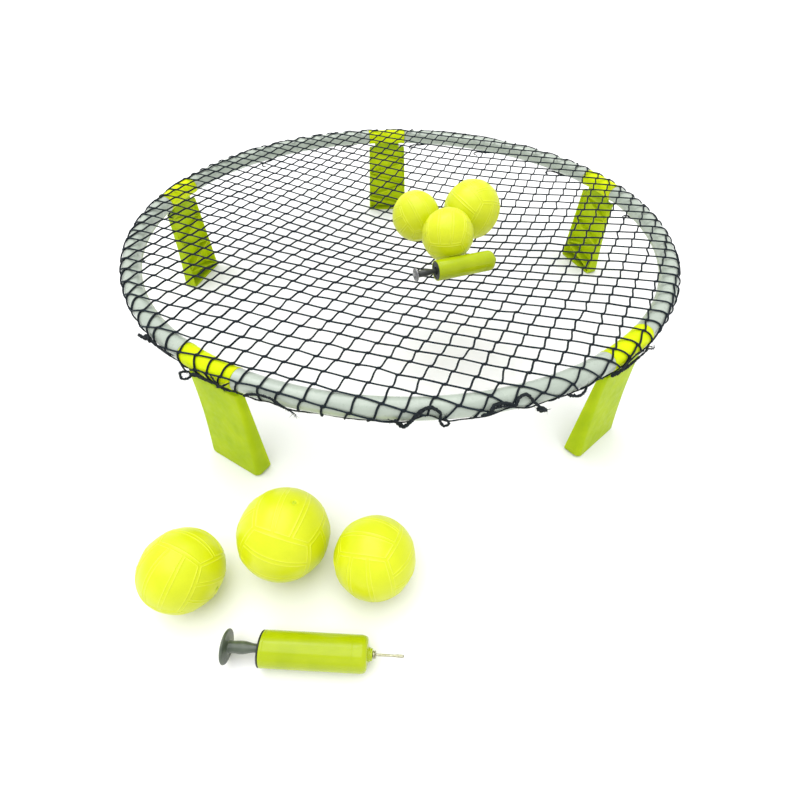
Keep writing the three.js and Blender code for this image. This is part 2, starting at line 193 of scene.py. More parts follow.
def rounded(outline, size, steps=4):
    """The same closed or open outline with its inner corners turned into short curves."""
    made = [outline[0]]
    for before, here, after in zip(outline, outline[1:], outline[2:]):
        before, here, after = (np.array(p, float) for p in (before, here, after))
        back, on = before - here, after - here
        reach = min(size, 0.45 * np.linalg.norm(back), 0.45 * np.linalg.norm(on))
        start, end = here + reach * unit(back), here + reach * unit(on)
        for t in np.linspace(0, 1, steps + 1):
            made.append(tuple((1 - t) ** 2 * start + 2 * t * (1 - t) * here + t ** 2 * end))
    return made + [outline[-1]]


def finish_piece(piece, body, slot, *nodes):
    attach(piece, body)
    if nodes:
        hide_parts(*nodes)


# Materials

WHITE = (1, 1, 1, 1)


def srgb(red, green, blue):
    """A colour as seen on a screen, 0 to 255, as the linear numbers that a shader takes."""
    shares = [c / 255 for c in (red, green, blue)]
    linear = [c / 12.92 if c <= 10 / 255 else ((c + 0.055) / 1.055) ** 2.4 for c in shares]
    return (*linear, 1)


class Finish:
    """A Principled material with helpers for the noise that varies its colour, gloss and relief."""

    def __init__(self, name, roughness, **sockets):
        self.material = bpy.data.materials.new(name)
        self.material.use_nodes = True
        self.tree = self.material.node_tree
        self.link = self.tree.links.new
        self.shader = self.tree.nodes["Principled BSDF"]
        self.shader.inputs["Roughness"].default_value = roughness
        for socket, value in sockets.items():
            self.shader.inputs[socket.replace("_", " ")].default_value = value
        self.place = self.node("ShaderNodeTexCoord").outputs["Object"]

    def node(self, kind, **settings):
        made = self.tree.nodes.new(kind)
        for key, value in settings.items():
            if key in made.inputs:
                made.inputs[key].default_value = value
            else:
                setattr(made, key, value)
        return made

    def noise(self, scale, detail=3, stretch=None):
        made = self.node("ShaderNodeTexNoise", Scale=scale, Detail=detail)
        place = self.place
        if stretch:
            mapping = self.node("ShaderNodeMapping")
            mapping.inputs["Scale"].default_value = stretch
            self.link(place, mapping.inputs["Vector"])
            place = mapping.outputs["Vector"]
        self.link(place, made.inputs["Vector"])
        return made.outputs["Fac"]

    def ramp(self, factor, *stops):
        made = self.node("ShaderNodeValToRGB")
        elements = made.color_ramp.elements
        elements[0].position, elements[0].color = stops[0]
        elements[1].position, elements[1].color = stops[-1]
        for position, colour in stops[1:-1]:
            elements.new(position).color = colour
        self.link(factor, made.inputs["Fac"])
        return made.outputs["Color"]

    def mix(self, factor, first, second, blend="MIX"):
        made = self.node("ShaderNodeMix", data_type="RGBA", blend_type=blend)
        for socket, value in ((made.inputs[0], factor), (made.inputs[6], first), (made.inputs[7], second)):
            if isinstance(value, bpy.types.NodeSocket):
                self.link(value, socket)
            else:
                socket.default_value = value
        return made.outputs[2]

    def mapped(self, value, start, end, low=0.0, high=1.0, **settings):
        made = self.node("ShaderNodeMapRange", **settings)
        for socket, number in zip(("From Min", "From Max", "To Min", "To Max"), (start, end, low, high)):
            made.inputs[socket].default_value = number
        self.link(value, made.inputs["Value"])
        return made.outputs["Result"]

    def height(self, low, high):
        """0 below the low height and 1 above the high one, in metres in the row frame."""
        split = self.node("ShaderNodeSeparateXYZ")
        self.link(self.place, split.inputs["Vector"])
        return self.mapped(split.outputs["Z"], low, high, interpolation_type="SMOOTHSTEP")

    def colour(self, socket):
        self.link(socket, self.shader.inputs["Base Color"])

    def gloss(self, factor, low, high):
        self.link(self.mapped(factor, 0.3, 0.7, low, high), self.shader.inputs["Roughness"])

    def relief(self, factor, depth_mm, strength=1.0):
        bump = self.node("ShaderNodeBump", Strength=strength, Distance=depth_mm * MM)
        self.link(factor, bump.inputs["Height"])
        self.link(bump.outputs["Normal"], self.shader.inputs["Normal"])


LEG_SHADE_HEIGHTS = (0.1625, 0.1725)  # heights in metres between which the darker olive of a leg's painted shade turns to its collar's yellow


def leg_plastic():
    made = Finish(
        "leg_plastic", 0.5, Specular_IOR_Level=0.1,
        Subsurface_Weight=0.5, Subsurface_Scale=0.02, Subsurface_Radius=(1.0, 1.0, 0.3),
    )
    patches = made.noise(38, 5)
    flow = made.noise(60, 3, stretch=(1, 1, 0.25))
    # Painted shade: the leg below its collar takes darker, greener olive colours for the shade it stands
    # in, and the collar keeps the paler yellow
    olive, leaf, pale = srgb(154, 180, 9), srgb(163, 187, 13), srgb(170, 192, 20)
    low = made.ramp(patches, (0.3, olive), (0.5, leaf), (0.72, pale))
    high = made.ramp(patches, (0.3, srgb(203, 221, 0)), (0.7, srgb(212, 228, 3)))
    whole = made.mix(made.height(*LEG_SHADE_HEIGHTS), low, high)
    streaks = made.ramp(flow, (0.35, (0.93, 0.95, 0.9, 1)), (0.65, WHITE))
    made.colour(made.mix(1.0, whole, streaks, "MULTIPLY"))
    made.gloss(made.noise(120, 4), 0.4, 0.6)
    made.relief(made.noise(1900, 4), 0.09, 0.5)
    return made.material


def tube_plastic():
    made = Finish(
        "tube_plastic", 0.3, Coat_Weight=0.3, Coat_Roughness=0.18,
        Subsurface_Weight=0.06, Subsurface_Scale=0.004, Subsurface_Radius=(0.9, 1.0, 0.9),
    )
    cloud = made.noise(22, 4)
    body = made.ramp(cloud, (0.3, srgb(166, 176, 165)), (0.7, srgb(176, 186, 174)))
    scratches = made.noise(240, 6, stretch=(1, 1, 3))
    scuffs = made.ramp(scratches, (0.4, (0.96, 0.975, 0.96, 1)), (0.6, WHITE))
    made.colour(made.mix(1.0, body, scuffs, "MULTIPLY"))
    made.gloss(made.noise(90, 4), 0.22, 0.4)
    made.relief(made.noise(420, 3), 0.05, 0.3)
    return made.material


def twine(name, dark, pale, grain):
    made = Finish(name, 0.7, Specular_IOR_Level=0.2)
    made.colour(made.ramp(made.noise(grain, 5), (0.35, dark), (0.68, pale)))
    made.gloss(made.noise(grain * 0.6, 3), 0.55, 0.85)
    made.relief(made.noise(grain * 2.2, 3, stretch=(1, 1, 1.6)), 0.35, 0.8)
    return made.material


def ball_rubber(name, low, middle, high):
    made = Finish(
        name, 0.36, Specular_IOR_Level=0.4,
        Subsurface_Weight=0.08, Subsurface_Scale=0.004, Subsurface_Radius=(1.0, 1.0, 0.25),
    )
    cloud = made.noise(26, 4)
    body = made.ramp(cloud, (0.3, low), (0.5, middle), (0.7, high))
    dust = made.ramp(made.noise(420, 5), (0.36, (0.975, 0.985, 0.96, 1)), (0.6, WHITE))
    made.colour(made.mix(1.0, body, dust, "MULTIPLY"))
    made.gloss(made.noise(70, 4), 0.32, 0.42)
    made.relief(made.noise(1500, 3), 0.05, 0.4)
    return made.material


def valve_rubber():
    made = Finish("valve_rubber", 0.5)
    made.colour(made.ramp(made.noise(300, 4), (0.3, srgb(176, 200, 16)), (0.7, srgb(196, 216, 26))))
    made.gloss(made.noise(400, 3), 0.4, 0.6)
    made.relief(made.noise(1800, 2), 0.05, 0.5)
    return made.material


def pump_shell():
    made = Finish(
        "pump_shell", 0.24, Specular_IOR_Level=0.25, Coat_Weight=0.15, Coat_Roughness=0.08,
        Subsurface_Weight=0.06, Subsurface_Scale=0.003, Subsurface_Radius=(1.0, 1.0, 0.3),
    )
    cloud = made.noise(45, 4)
    body = made.ramp(cloud, (0.3, srgb(160, 178, 5)), (0.55, srgb(167, 184, 8)), (0.75, srgb(173, 189, 12)))
    made.colour(body)
    made.gloss(made.noise(160, 5), 0.16, 0.24)
    made.relief(made.noise(900, 3), 0.02, 0.25)
    return made.material


def dark_plastic(name, dark, pale, low, high, coat=0.0, metallic=0.0):
    made = Finish(name, low, Coat_Weight=coat, Metallic=metallic)
    made.colour(made.ramp(made.noise(130, 5), (0.3, dark), (0.7, pale)))
    made.gloss(made.noise(220, 4), low, high)
    made.relief(made.noise(1400, 3), 0.06, 0.45)
    return made.material


def needle_metal():
    made = Finish("needle_metal", 0.3, Metallic=0.9)
    made.colour(made.ramp(made.noise(420, 5), (0.3, srgb(150, 148, 118)), (0.7, srgb(196, 194, 172))))
    made.gloss(made.noise(500, 4, stretch=(1, 1, 6)), 0.22, 0.42)
    made.relief(made.noise(2600, 2), 0.03, 0.4)
    return made.material


LEG_PLASTIC = leg_plastic()
TUBE_PLASTIC = tube_plastic()
LONG_TWINE = twine("long_twine", srgb(8, 15, 21), srgb(24, 36, 44), 900)
CROSS_TWINE = twine("cross_twine", srgb(12, 22, 30), srgb(38, 52, 60), 900)
CORD_FIBRE = twine("cord_fibre", srgb(10, 15, 18), srgb(34, 42, 47), 700)
BALL_RUBBER = ball_rubber("ball_rubber", srgb(204, 214, 10), srgb(209, 218, 14), srgb(216, 223, 24))
RIDGE_RUBBER = ball_rubber("ridge_rubber", srgb(215, 223, 46), srgb(220, 227, 58), srgb(225, 231, 70))
VALVE_RUBBER = valve_rubber()
PUMP_SHELL = pump_shell()
PUMP_CAP = dark_plastic("pump_cap", srgb(26, 32, 28), srgb(44, 50, 44), 0.35, 0.55)
ROD_GREY = dark_plastic("rod_grey", srgb(64, 74, 61), srgb(84, 94, 78), 0.28, 0.48, 0.2)
ROD_BLACK = dark_plastic("rod_black", srgb(24, 28, 26), srgb(46, 50, 46), 0.3, 0.5, 0.2)
KNOB_SILVER = dark_plastic("knob_silver", srgb(112, 112, 116), srgb(158, 158, 160), 0.22, 0.36, 0.3, 0.75)
SEAL_RUBBER = dark_plastic("seal_rubber", srgb(18, 19, 18), srgb(40, 42, 40), 0.55, 0.8)
NEEDLE_METAL = needle_metal()


# Rim tubes

def on_rim(angle, outward, up):
    """The point at an angle in degrees round the rim, from the circle of the tube centres."""
    radius = RIM_RADIUS + np.asarray(outward, float)
    angle = np.asarray(angle, float) * DEG
    height = RIM_HEIGHT + np.asarray(up, float)
    x = RIM_MIDDLE[0] + radius * np.cos(angle)
    y = RIM_MIDDLE[1] + radius * np.sin(angle)
    return np.stack(np.broadcast_arrays(x, y, height), axis=-1)


TUBE_END_GAP = 0.06  # degrees between a tube's end and the collar
TUBE_LIP = 0.35  # the end of each tube is belled out a little
TUBE_LIP_ANGLE = 0.35
TUBE_SECTION = 48
TUBE_RINGS = 72


def tube_wall_rings(first, last):
    """(angle, radius) stations: out along the outside, round the end, and back inside the bore."""
    outside = [(first, TUBE_RADIUS - 0.4), (first + 0.04, TUBE_RADIUS + TUBE_LIP)]
    outside += [(first + TUBE_LIP_ANGLE, TUBE_RADIUS + TUBE_LIP), (first + 2 * TUBE_LIP_ANGLE, TUBE_RADIUS)]
    inner = TUBE_RADIUS - TUBE_WALL
    middle = [(a, TUBE_RADIUS) for a in np.linspace(first + 1.2, last - 1.2, TUBE_RINGS)]
    far = [(first + last - angle, radius) for angle, radius in reversed(outside)]
    bore = [(a, inner) for a in np.linspace(last - 0.1, first + 0.1, TUBE_RINGS // 2)]
    return outside + middle + far + [(last, inner + 0.3)] + bore + [(first, inner + 0.3)]


def make_tubes():
    section = np.arange(TUBE_SECTION) * TURN / TUBE_SECTION
    for i in range(LEG_COUNT):
        leg = FIRST_LEG + i * LEG_SPACING
        first = leg + COLLAR_HALF_ANGLE + TUBE_END_GAP
        last = leg + LEG_SPACING - COLLAR_HALF_ANGLE - TUBE_END_GAP
        stations = tube_wall_rings(first, last)
        rings = np.array([on_rim(a, r * np.cos(section), r * np.sin(section)) for a, r in stations])
        tube = ring_shells(rings[:, ::-1], closed=True).object(f"tube_{i + 1}", TUBE_PLASTIC)
        finish_piece(tube, "rim", "tube_plastic", f"rim_tube_{i + 1}")


# Legs

COLLAR_RADIUS = 13.9
SPIGOT_RADIUS = TUBE_RADIUS - TUBE_WALL - 0.4
SPIGOT_ANGLE = 3.4
CHANNEL_INNER = 439.5
CHANNEL_OUTER_TOP = 451
CHANNEL_FLARE = 15
CHANNEL_HEIGHT = 154
CHANNEL_WALL = 3
CHANNEL_TOP_WEB = 8
CHANNEL_HALF_TOP = 43
CHANNEL_HALF_FOOT = 48
FOOT_CORNER = 5
NECK_INNER = 439.5
NECK_OUTER = 447.5
NECK_HALF_WIDTH = 30
NECK_TOP = 172
RIB_COUNT = 5
RIB_THICKNESS = 2
RIB_INSET = 1  # how deep the ends of a rib lie in the walls, from outside
EDGE_ROUND = 1.1
EDGE_CURVE = 8  # radius of the upright edges of the outer face


def outer_face(height):
    share = np.clip(1 - height / CHANNEL_HEIGHT, 0, 1)
    return CHANNEL_OUTER_TOP + CHANNEL_FLARE * share ** 1.5


def half_width(height):
    return CHANNEL_HALF_FOOT + (CHANNEL_HALF_TOP - CHANNEL_HALF_FOOT) * height / CHANNEL_HEIGHT


def section_ring(inner, outer, half, height, outer_corner, inner_corner, steps=6):
    """A level rectangle from inner to outer and half each way, with its four upright edges rounded."""
    big = min(outer_corner, 0.5 * (outer - inner))
    small = min(inner_corner, 0.4 * (outer - inner))
    ring = []
    for cx, cy, corner, start in (
        (outer - big, half - big, big, 0), (inner + small, half - small, small, 90),
        (inner + small, small - half, small, 180), (outer - big, big - half, big, 270),
    ):
        for angle in np.linspace(start, start + 90, steps + 1):
            ring.append((cx + corner * math.cos(angle * DEG), cy + corner * math.sin(angle * DEG), height))
    return ring


def channel_block():
    """The leg's outer form: rounded at the foot's corners, along the upright edges and at the top."""
    sections = []
    for turn in range(0, 91, 18):
        pull = FOOT_CORNER * (1 - math.sin(turn * DEG))
        sections.append((FOOT_CORNER * (1 - math.cos(turn * DEG)), pull, 0.25 * pull))
    for height in np.linspace(FOOT_CORNER, CHANNEL_HEIGHT - EDGE_ROUND, 22)[1:]:
        sections.append((height, 0, 0))
    sections.append((CHANNEL_HEIGHT - 0.3 * EDGE_ROUND, 0.3 * EDGE_ROUND, 0.3 * EDGE_ROUND))
    sections.append((CHANNEL_HEIGHT, EDGE_ROUND, EDGE_ROUND))
    rings = []
    for h, pull, inset in sections:
        inner, outer = CHANNEL_INNER + 0.2 * inset, outer_face(h) - inset
        rings.append(section_ring(inner, outer, half_width(h) - pull, h, EDGE_CURVE, 1.2))
    return ring_shells(rings)


def channel_pocket():
    top = CHANNEL_HEIGHT - CHANNEL_TOP_WEB
    deep = CHANNEL_INNER - 3 * CHANNEL_WALL
    curve = EDGE_CURVE - CHANNEL_WALL
    rings = []
    for h in np.linspace(CHANNEL_WALL, top, 20):
        outer, half = outer_face(h) - CHANNEL_WALL, half_width(h) - CHANNEL_WALL
        rings.append(section_ring(deep, outer, half, h, curve, 1))
    return ring_shells(rings)


def rib_plate(index):
    """One bar of the zigzag between the side walls: it follows the channel's rounded outer corners."""
    low = 2 * CHANNEL_WALL
    rise = (CHANNEL_HEIGHT - CHANNEL_TOP_WEB - low) / RIB_COUNT
    sign = 1 if index % 2 else -1
    foot = low + index * rise
    half = RIB_THICKNESS / 2
    curve = EDGE_CURVE - RIB_INSET
    inner = CHANNEL_INNER + 2
    rings = []
    for side, turn in ((1, 90), (1, 45), (1, 0), (-1, 0), (-1, 45), (-1, 90)):
        across, out = curve * math.sin(turn * DEG), curve * math.cos(turn * DEG)
        share = 1 - (curve - across) / CHANNEL_HALF_TOP
        z = foot + rise * (1 - side * share) / 2
        y = sign * side * (half_width(z) - EDGE_CURVE + across)
        outer = outer_face(z) - EDGE_CURVE + out
        under, over = z - half, z + half
        rings.append([(inner, y, under), (outer, y, under), (outer, y, over), (inner, y, over)])
    return ring_shells(rings)


def neck_block():
    """The web between the channel's top and the collar, waisted towards its middle."""
    sections = []
    for height in np.linspace(CHANNEL_HEIGHT - CHANNEL_WALL, NECK_TOP, 9):
        share = (height - CHANNEL_HEIGHT + CHANNEL_WALL) / (NECK_TOP - CHANNEL_HEIGHT + CHANNEL_WALL)
        flare = 3.5 * (2 * share - 1) ** 2
        thick = 1.6 * (2 * share - 1) ** 2
        half = NECK_HALF_WIDTH + flare - 1
        sections.append(section_ring(NECK_INNER - 0.3 * thick, NECK_OUTER + thick, half, height, 3, 2))
    return ring_shells(sections)


def arc_solid(stations):
    """A solid along the rim's circle in the leg's own frame, from (angle, section radius) stations."""
    section = np.arange(TUBE_SECTION) * TURN / TUBE_SECTION
    rings = []
    for angle, radius in stations:
        reach, height = RIM_RADIUS + radius * np.cos(section), RIM_HEIGHT + radius * np.sin(section)
        x, y = reach * math.cos(angle * DEG), reach * math.sin(angle * DEG)
        rings.append(np.stack([x, y, height], axis=1)[::-1])
    return ring_shells(rings)


def collar_solid():
    edge, bead = COLLAR_HALF_ANGLE, COLLAR_RADIUS + 0.45
    right = [(edge, COLLAR_RADIUS - 0.7), (edge - 0.03, bead - 0.25), (edge - 0.1, bead)]
    right += [(edge - 0.42, bead), (edge - 0.62, COLLAR_RADIUS)]
    middle = [(a, COLLAR_RADIUS) for a in np.linspace(0.8 - edge, edge - 0.8, 20)]
    return arc_solid([(-a, r) for a, r in right] + middle + right[::-1])


def spigot_solid():
    end = COLLAR_HALF_ANGLE + SPIGOT_ANGLE
    stations = [(end, SPIGOT_RADIUS - 1.2), (end - 0.12, SPIGOT_RADIUS - 0.3), (end - 0.3, SPIGOT_RADIUS)]
    middle = [(a, SPIGOT_RADIUS) for a in np.linspace(0.6 - end, end - 0.6, 16)]
    return arc_solid([(-a, r) for a, r in stations] + middle + stations[::-1])


def join(base, tools):
    """Cuts or joins the tools to the base in turn, and removes them."""
    for operation, tool in tools:
        cut = base.modifiers.new("cut", "BOOLEAN")
        cut.operation, cut.object, cut.solver = operation, tool, "EXACT"
    for_cut = bpy.context.evaluated_depsgraph_get()
    mesh = bpy.data.meshes.new_from_object(base.evaluated_get(for_cut))
    base.modifiers.clear()
    base.data = mesh
    for _, tool in tools:
        bpy.data.objects.remove(tool)


def make_legs():
    def part(shells):
        return shells.object("leg_stock", LEG_PLASTIC)

    leg = part(channel_block())
    tools = [("DIFFERENCE", part(channel_pocket()))]
    tools += [("UNION", part(rib_plate(i))) for i in range(RIB_COUNT)]
    tools += [("UNION", part(s)) for s in (neck_block(), collar_solid(), spigot_solid())]
    join(leg, tools)
    soften = leg.modifiers.new("soften", "BEVEL")
    soften.width, soften.segments = 0.45 * MM, 2
    soften.limit_method, soften.angle_limit = "ANGLE", 40 * DEG
    soften.use_clamp_overlap, soften.harden_normals = True, False
    made = bpy.data.meshes.new_from_object(leg.evaluated_get(bpy.context.evaluated_depsgraph_get()))
    bpy.data.objects.remove(leg)
    made.polygons.foreach_set("use_smooth", [True] * len(made.polygons))
    made.set_sharp_from_angle(angle=32 * DEG)
    for i in range(LEG_COUNT):
        turn = Matrix.Rotation((FIRST_LEG + i * LEG_SPACING) * DEG, 4, "Z")
        place = Matrix.Translation((RIM_MIDDLE[0] * MM, RIM_MIDDLE[1] * MM, 0))
        mesh = made.copy()
        mesh.transform(place @ turn)
        finish_piece(placed(f"moulded_leg_{i + 1}", mesh), "rim", "leg_plastic", f"leg_{i + 1}")


# Net

STRAND_RADIUS = 1.27
KNOT_HALF_LENGTH = 3.6
KNOT_RADIUS = 2.2
KNOT_OFFSET = 0.9  # how far to one side of a knot's middle an along strand leaves it
KNOT_SKEW = 0.2
BED_LEVEL = 189.2  # strand centres where the balls lie, just below them
WRAP_RADIUS = TUBE_RADIUS + 1.55  # strand centres where they lie on a tube
WRAP_END = 152  # degrees from the tube's top, round its outside, to the edge cord
EDGE_REACH = 15.4  # the edge cord's distance from the tube's centre
RISE_START = 300  # radius where the bed begins to rise to the tube's top

# The lattice: steps across (down to the right) and along (up to the right), and how they drift
NET_MIDDLE = np.array([0.0, 8.0])
ACROSS = np.array([24.2, -9.0])
ALONG = np.array([13.3, 22.9])
ACROSS_DRIFT = np.array([0.12, -0.05])
ALONG_DRIFT = np.array([0.09, 0.01])
# The net is drawn towards the front by this much at most, fading with distance from a middle
DRAW = np.array([2.5, -100.0])
DRAW_MIDDLE = np.array([42.0, 62.0])
DRAW_REACH = np.array([277.0, 261.0])
LATTICE_REACH = 40
RELAX_ROUNDS = 6
UNEVENNESS = 0.9
EDGE_MARGIN = 5

# Where lacing bunches the edge of the net: degrees round the rim, reach in degrees, share drawn
# in, and how far up the tube the edge is pulled in degrees
GATHERS = [
    (5, 4, 0.4, 0), (36, 4, 0.5, 0), (61, 3, 0.4, 0), (82, 4, 0.5, 0), (104, 4, 0.4, 0), (130, 4, 0.5, 0),
    (168, 3, 0.4, 0), (188, 4, 0.5, 0), (224.5, 4, 0.5, 52), (239, 5, 0.75, 38), (249, 3.2, 0.5, 52),
    (271.5, 3, 0.6, 78), (283, 3.6, 0.6, 72), (294.5, 2, 0.4, 36), (306, 5, 0.6, 34), (314, 3, 0.4, 0),
]


def turn_between(first, last):
    """Degrees from the first angle to the last, the short way round."""
    return (last - first + 180) % 360 - 180


def edge_turn(angle):
    """How far round the tube the net's edge lies, in degrees from its top, at angles round the rim."""
    angle = np.asarray(angle, float)
    turn = np.full(angle.shape, float(WRAP_END))
    for at, reach, _, rise in GATHERS:
        turn -= rise * np.exp(-(turn_between(at, angle) / reach) ** 2)
    return turn


def edge_radius(angle):
    """The flat net's radius at the edge."""
    return RIM_RADIUS + WRAP_RADIUS * edge_turn(angle) * DEG


def lattice_point(i, j):
    point = NET_MIDDLE + i * ACROSS + j * ALONG + i * i / 2 * ACROSS_DRIFT + j * j / 2 * ALONG_DRIFT
    away = (point - DRAW_MIDDLE) / DRAW_REACH
    return point + math.exp(-away @ away) * DRAW


def net_surface(flat):
    """Maps points of the flat net to the bed, up over the rim and round its outside."""
    flat = np.atleast_2d(flat)
    reach = np.linalg.norm(flat, axis=1)
    angle = np.arctan2(flat[:, 1], flat[:, 0]) / DEG
    rise = np.clip((reach - RISE_START) / (RIM_RADIUS - RISE_START), 0, 1)
    top = RIM_HEIGHT + WRAP_RADIUS
    level = BED_LEVEL + (top - BED_LEVEL) * rise ** 2 * (3 - 2 * rise)
    round_tube = np.maximum(reach - RIM_RADIUS, 0) / WRAP_RADIUS
    last = np.clip((round_tube / DEG - 100) / (WRAP_END - 100), 0, 1.05)
    size = WRAP_RADIUS + (EDGE_REACH - WRAP_RADIUS) * last ** 2
    outward = np.where(reach <= RIM_RADIUS, reach - RIM_RADIUS, size * np.sin(round_tube))
    up = np.where(reach <= RIM_RADIUS, level - RIM_HEIGHT, size * np.cos(round_tube))
    points = on_rim(angle, outward, up)
    lean = np.where(reach <= RIM_RADIUS, 0, round_tube)
    normals = np.stack([
        np.sin(lean) * np.cos(angle * DEG), np.sin(lean) * np.sin(angle * DEG), np.cos(lean),
    ], axis=1)
    return points, normals


def flat_angle(point):
    return math.degrees(math.atan2(point[1], point[0])) % 360


def inside_edge(point, margin):
    return np.linalg.norm(point) < edge_radius(flat_angle(point)) - margin


def edge_crossing(inside, outside):
    """Where the line from a point inside the net's edge to one outside crosses it, by halving."""
    for _ in range(12):
        middle = (inside + outside) / 2
        if inside_edge(middle, 0):
            inside = middle
        else:
            outside = middle
    return inside


def gathered(point):
    angle = flat_angle(point)
    shift = 0
    for at, reach, share, _ in GATHERS:
        away = turn_between(angle, at)
        shift += share * away * math.exp(-(away / reach) ** 2)
    turned = angle + shift
    return edge_radius(turned) * np.array([math.cos(turned * DEG), math.sin(turned * DEG)])


def net_lattice():
    """Knots and edge ends: their places, the index of each lattice point, and the links of both ways."""
    reach = range(-LATTICE_REACH, LATTICE_REACH + 1)
    knots = [(i, j) for i in reach for j in reach if inside_edge(lattice_point(i, j), EDGE_MARGIN)]
    index = {key: n for n, key in enumerate(knots)}
    places = [lattice_point(i, j) for i, j in knots]
    links = []
    around = [[] for _ in knots]
    for (i, j), n in list(index.items()):
        for way, (di, dj) in enumerate(((1, 0), (0, 1), (-1, 0), (0, -1))):
            other = index.get((i + di, j + dj))
            if other is None:
                other = len(places)
                places.append(gathered(edge_crossing(places[n], lattice_point(i + di, j + dj))))
            around[n].append(other)
            if way < 2:
                links.append((way, n, other))
            elif other >= len(knots):
                links.append((way - 2, other, n))
    return np.array(places), len(knots), np.array(around), links


RELAX_SHARE = 0.5
STRAND_BOW = 0.35  # mm, as a spread
CROSS_STRAND_SHARE = 0.9  # of a long strand's radius
KNOT_FLATTENING = 0.28


def relaxed(places, knot_count, around):
    """Each knot settles between its four neighbours, as in a net under even tension."""
    for _ in range(RELAX_ROUNDS):
        places[:knot_count] += RELAX_SHARE * (places[around].mean(axis=1) - places[:knot_count])
    nudges = rng.normal(0, UNEVENNESS, (knot_count, 2))
    places[:knot_count] += nudges - 0.35 * nudges[::-1]
    return places


def strand(start, end, start_way, end_way, bow):
    """Flat points of one strand; the ways are its directions where it leaves and meets the knots."""
    length = np.linalg.norm(end - start)
    count = 9 if max(np.linalg.norm(start), np.linalg.norm(end)) > RIM_RADIUS - 12 else 6
    t = np.linspace(0, 1, count)[:, None]
    line = (
        (2 * t ** 3 - 3 * t ** 2 + 1) * start + (t ** 3 - 2 * t ** 2 + t) * length * start_way
        + (3 * t ** 2 - 2 * t ** 3) * end + (t ** 3 - t ** 2) * length * end_way
    )
    across = np.array([-(end - start)[1], (end - start)[0]]) / max(length, 1e-6)
    return line + bow * np.sin(math.pi * t) * across


def make_net():
    places, knot_count, around, links = net_lattice()
    places = relaxed(places, knot_count, around)
    cross_way = unit(places[around[:, 0]] - places[around[:, 2]])
    shells = [Shells(), Shells(), Shells()]
    for way, a, b in links:
        start, end = places[a], places[b]
        straight = unit(end - start)
        leave = meet = straight
        if way == 1:
            if a < knot_count:
                start = start + KNOT_OFFSET * cross_way[a]
                leave = unit(straight + KNOT_SKEW * cross_way[a])
            if b < knot_count:
                end = end - KNOT_OFFSET * cross_way[b]
                meet = unit(straight + KNOT_SKEW * cross_way[b])
        line = strand(start, end, leave, meet, rng.normal(0, STRAND_BOW))
        path, normals = net_surface(line)
        size = STRAND_RADIUS * (1.0 if way else CROSS_STRAND_SHARE) * rng.uniform(0.92, 1.08)
        shells[way].rings(tube_rings(path, size, 6, normals))
    for n in range(knot_count):
        add_knot(shells[2], places[n], cross_way[n], unit(places[around[n, 1]] - places[around[n, 3]]))
    cross, long, knots = shells
    finish_piece(cross.object("net_cross_strands", CROSS_TWINE, 60), "rim", "net_twine", "net_bed")
    finish_piece(long.object("net_long_strands", LONG_TWINE, 60), "rim", "net_twine", "net_border")
    finish_piece(knots.object("net_knots", LONG_TWINE, 60), "rim", "net_twine")


def add_knot(shells, place, cross, along):
    """A tight knot: a lump stretched along the cross strand and turned a little towards the other."""
    way = unit(cross + rng.uniform(0.15, 0.4) * along)
    reach = KNOT_HALF_LENGTH * rng.uniform(0.85, 1.15)
    stations = np.array([-1, -0.72, -0.25, 0.25, 0.72, 1])
    sizes = KNOT_RADIUS * np.array([0.35, 0.78, 0.95, 1.0, 0.74, 0.35]) * rng.uniform(0.85, 1.1)
    path, normals = net_surface(place + (stations * reach)[:, None] * way)
    rings = tube_rings(path, sizes, 7, normals)
    flat = np.sum((rings - path[:, None]) * normals[:, None], axis=2)
    shells.rings(rings - KNOT_FLATTENING * flat[..., None] * normals[:, None])


# Lacing

EDGE_CORD_RADIUS = 1.05
EDGE_CORD_STEPS = 1500
TIE_RADIUS = 1.95


def lacing_point(angle, along, around, size):
    """A point near the rim: along it in mm from an angle, and round the tube from its top in degrees."""
    outward, up = size * np.sin(around * DEG), size * np.cos(around * DEG)
    return on_rim(angle + along / (RIM_RADIUS + outward) / DEG, outward, up)


def make_edge_cord():
    angle = np.linspace(0, 360, EDGE_CORD_STEPS, endpoint=False)
    wave = 3.5 * np.sin(17 * angle * DEG) + 2.5 * np.sin(41 * angle * DEG + 1)
    path = lacing_point(angle, 0, edge_turn(angle) + wave, EDGE_REACH + 0.4 * np.sin(29 * angle * DEG))
    closed = np.vstack([path[-1:], path, path[:1]])
    size = EDGE_CORD_RADIUS * (1 + 0.1 * np.sin(53 * angle * DEG) + 0.05 * rng.normal(size=EDGE_CORD_STEPS))
    rings = rope_rings(closed, np.concatenate([size[-1:], size, size[:1]]), (0, 0, 1), sides=9, pitch=6.2)
    shells = Shells()
    shells.rings(rings[1:-1], closed=True)
    finish_piece(shells.object("laced_edge_cord", CORD_FIBRE, 60), "rim", "lacing_cord", "edge_cord")


